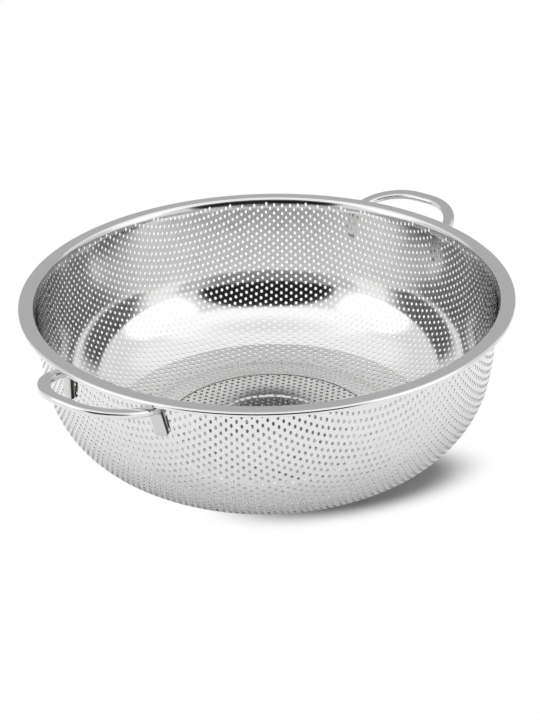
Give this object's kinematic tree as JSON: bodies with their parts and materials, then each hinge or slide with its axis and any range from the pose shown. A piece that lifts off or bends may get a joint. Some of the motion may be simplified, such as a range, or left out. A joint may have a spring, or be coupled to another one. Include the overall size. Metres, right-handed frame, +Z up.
{
  "type": "colander",
  "caption": "Polished stainless steel colander with a finely perforated round bowl, a flat turned-down rim and a bent bar loop handle at each end.",
  "frame": {"origin": "centre of the circle that the bowl stands on, at the standing surface", "axes": "+Z up along the bowl's axis, handles at the ends of X, -X is the near left handle in the picture"},
  "size_m": [0.3408, 0.29, 0.0976],
  "materials": {
    "sheet_steel": "polished drawn sheet",
    "bar_steel": "polished bent bar"
  },
  "bodies": {
    "root": {"bowl": "sheet_steel", "handle_left": "bar_steel", "handle_right": "bar_steel"}
  },
  "joints": []
}
